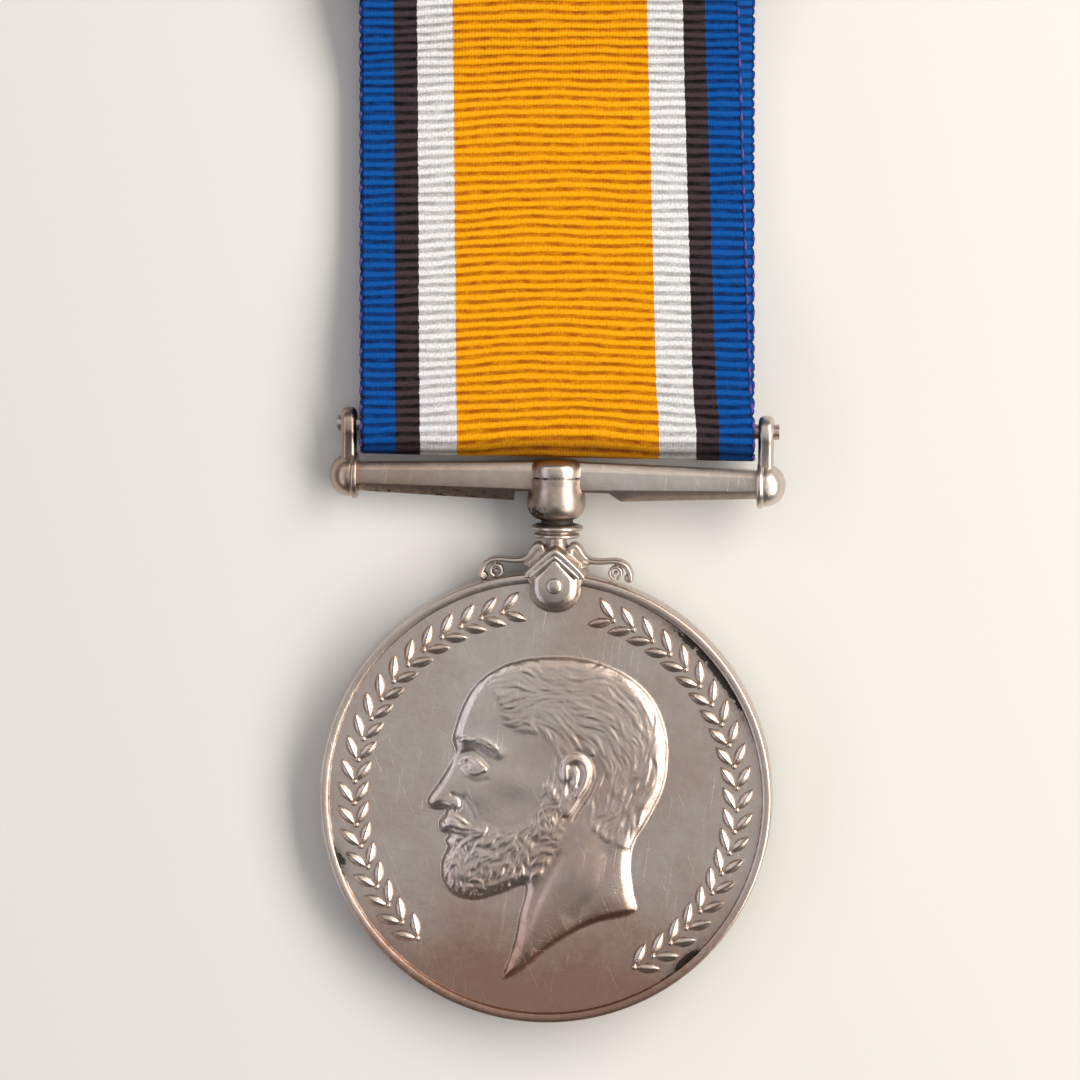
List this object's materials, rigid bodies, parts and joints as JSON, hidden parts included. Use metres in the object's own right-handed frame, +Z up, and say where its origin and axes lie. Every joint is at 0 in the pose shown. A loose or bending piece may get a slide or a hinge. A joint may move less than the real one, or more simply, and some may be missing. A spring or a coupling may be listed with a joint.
{
  "type": "silver medal on a striped ribbon with a straight bar suspender",
  "caption": "Round struck silver medal with a laurel border and a head in relief, riveted claw, straight bar suspender and a striped ribbon folded over a brooch.",
  "frame": {"origin": "centre of the footprint of the lying medal, on the surface that it rests on", "axes": "+Z up from the surface and out of the medal's face; +Y from the disc towards the ribbon's top fold; +X to the right of the face"},
  "size_m": [0.0369, 0.088, 0.0057],
  "materials": {
    "struck_silver": "satin",
    "cast_silver": "satin",
    "ribbon_silk": "matte",
    "brooch_brass": "satin"
  },
  "bodies": {
    "root": {"medal_disc": "struck_silver", "claw": "cast_silver", "claw_rivet": "cast_silver", "suspender_bar": "cast_silver", "ribbon_rod": "cast_silver", "ribbon": "ribbon_silk", "brooch_pin": "brooch_brass"}
  },
  "joints": []
}
